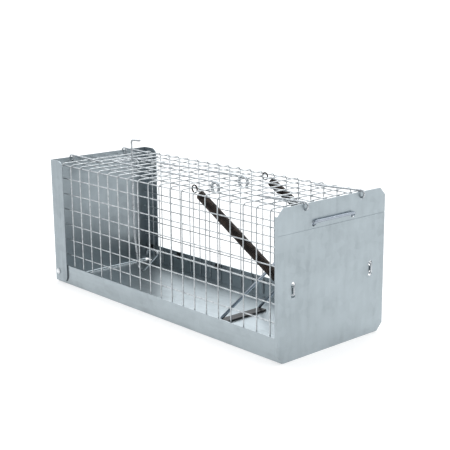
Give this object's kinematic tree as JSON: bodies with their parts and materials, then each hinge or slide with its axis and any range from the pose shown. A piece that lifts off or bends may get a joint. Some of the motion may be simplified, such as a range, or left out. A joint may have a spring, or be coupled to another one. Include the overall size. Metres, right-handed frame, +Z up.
{
  "type": "live catch trap",
  "caption": "Wire cage trap on a sheet tray, with a sprung front door on a wire prop, a roof trigger lever and bait hook, and a drop-down rear door.",
  "frame": {"origin": "on the ground under the middle of the cage, halfway between the outer faces of the two doors", "axes": "+X to the front door, +Z up, -Y to the side nearest in the usual view"},
  "size_m": [0.4092, 0.157, 0.1806],
  "materials": {
    "galvanised_sheet": "satin galvanised sheet with a faint grain",
    "cage_wire": "galvanised welded wire",
    "bright_wire": "zinc-plated bent wire",
    "grey_wire": "dark blue-grey wire",
    "spring_steel": "oiled dark spring steel",
    "black_strip": "black strip with a bright lip",
    "dark_clip": "black clip",
    "rivet": "bright rivet"
  },
  "bodies": {
    "cage": {"base_tray": "galvanised_sheet", "mesh_clips": "dark_clip", "roof_cross_wires": "cage_wire", "roof_line_wires": "cage_wire", "near_uprights": "cage_wire", "far_uprights": "cage_wire", "near_line_wires": "cage_wire", "far_line_wires": "cage_wire", "front_hinge_near": "bright_wire", "front_hinge_far": "bright_wire", "rear_pivot_rivets": "rivet"},
    "front_door": {"front_door": "galvanised_sheet", "spring_staple_near": "bright_wire", "spring_staple_far": "bright_wire"},
    "prop_bail": {"prop_bail": "grey_wire", "bail_cross_strip": "black_strip"},
    "trigger_lever": {"trigger_lever": "bright_wire"},
    "bait_hook": {"bait_hook": "bright_wire", "bait_hook_eye": "bright_wire"},
    "rear_door": {"rear_door": "galvanised_sheet"},
    "rear_latch_near": {"rear_latch_near": "bright_wire"},
    "rear_latch_far": {"rear_latch_far": "bright_wire"},
    "door_spring_near": {"door_spring_near": "spring_steel", "spring_top_loop_near": "spring_steel"},
    "spring_foot_near": {"spring_low_loop_near": "spring_steel"},
    "door_spring_far": {"door_spring_far": "spring_steel", "spring_top_loop_far": "spring_steel"},
    "spring_foot_far": {"spring_low_loop_far": "spring_steel"}
  },
  "joints": [
    {"name": "front_door_swing", "type": "hinge", "parent": "cage", "child": "front_door", "pos_m": [0.1998, 0, 0.1534], "axis": [0, -1, 0], "range_deg": [0, 45], "stiffness_Nm_per_rad": 0.12, "springref_deg": -34.38},
    {"name": "prop_bail_swing", "type": "hinge", "parent": "front_door", "child": "prop_bail", "pos_m": [0.1998, 0, 0.1342], "axis": [0, -1, 0], "range_deg": [-89, 0]},
    {"name": "trigger_lever_lift", "type": "hinge", "parent": "cage", "child": "trigger_lever", "pos_m": [0.04725, 0, 0.1475], "axis": [0, 1, 0], "range_deg": [0, 35]},
    {"name": "bait_hook_tilt", "type": "hinge", "parent": "cage", "child": "bait_hook", "pos_m": [-0.1242, 0, 0.1514], "axis": [0, -1, 0], "range_deg": [-15, 15]},
    {"name": "rear_door_drop", "type": "hinge", "parent": "cage", "child": "rear_door", "pos_m": [-0.1943, 0, 0.0136], "axis": [0, -1, 0], "range_deg": [0, 90]},
    {"name": "rear_latch_near_lift", "type": "hinge", "parent": "rear_door", "child": "rear_latch_near", "pos_m": [-0.1998, -0.0423, 0.1534], "axis": [0.0748, -0.9972, 0], "range_deg": [0, 80]},
    {"name": "rear_latch_far_lift", "type": "hinge", "parent": "rear_door", "child": "rear_latch_far", "pos_m": [-0.1998, 0.0384, 0.1534], "axis": [0.1017, -0.9948, 0], "range_deg": [0, 80]},
    {"name": "door_spring_near_turn", "type": "hinge", "parent": "cage", "child": "door_spring_near", "pos_m": [0.04725, -0.052, 0.1514], "axis": [0, -1, 0], "range_deg": [0, 13]},
    {"name": "door_spring_near_stretch", "type": "slide", "parent": "door_spring_near", "child": "spring_foot_near", "axis": [0.8786, 0, -0.4776], "range_m": [0, 0.048], "deforming": ["door_spring_near"]},
    {"name": "door_spring_far_turn", "type": "hinge", "parent": "cage", "child": "door_spring_far", "pos_m": [0.04725, 0.052, 0.1514], "axis": [0, -1, 0], "range_deg": [0, 13]},
    {"name": "door_spring_far_stretch", "type": "slide", "parent": "door_spring_far", "child": "spring_foot_far", "axis": [0.8786, 0, -0.4776], "range_m": [0, 0.048], "deforming": ["door_spring_far"]}
  ],
  "couplings": [
    {"joint": "prop_bail_swing", "follows": "front_door_swing", "ratio": -1.971},
    {"joint": "door_spring_near_turn", "follows": "front_door_swing", "ratio": 0.2674},
    {"joint": "door_spring_near_stretch", "follows": "front_door_swing", "m_per_rad": 0.059329},
    {"joint": "door_spring_far_turn", "follows": "front_door_swing", "ratio": 0.2674},
    {"joint": "door_spring_far_stretch", "follows": "front_door_swing", "m_per_rad": 0.059329}
  ]
}
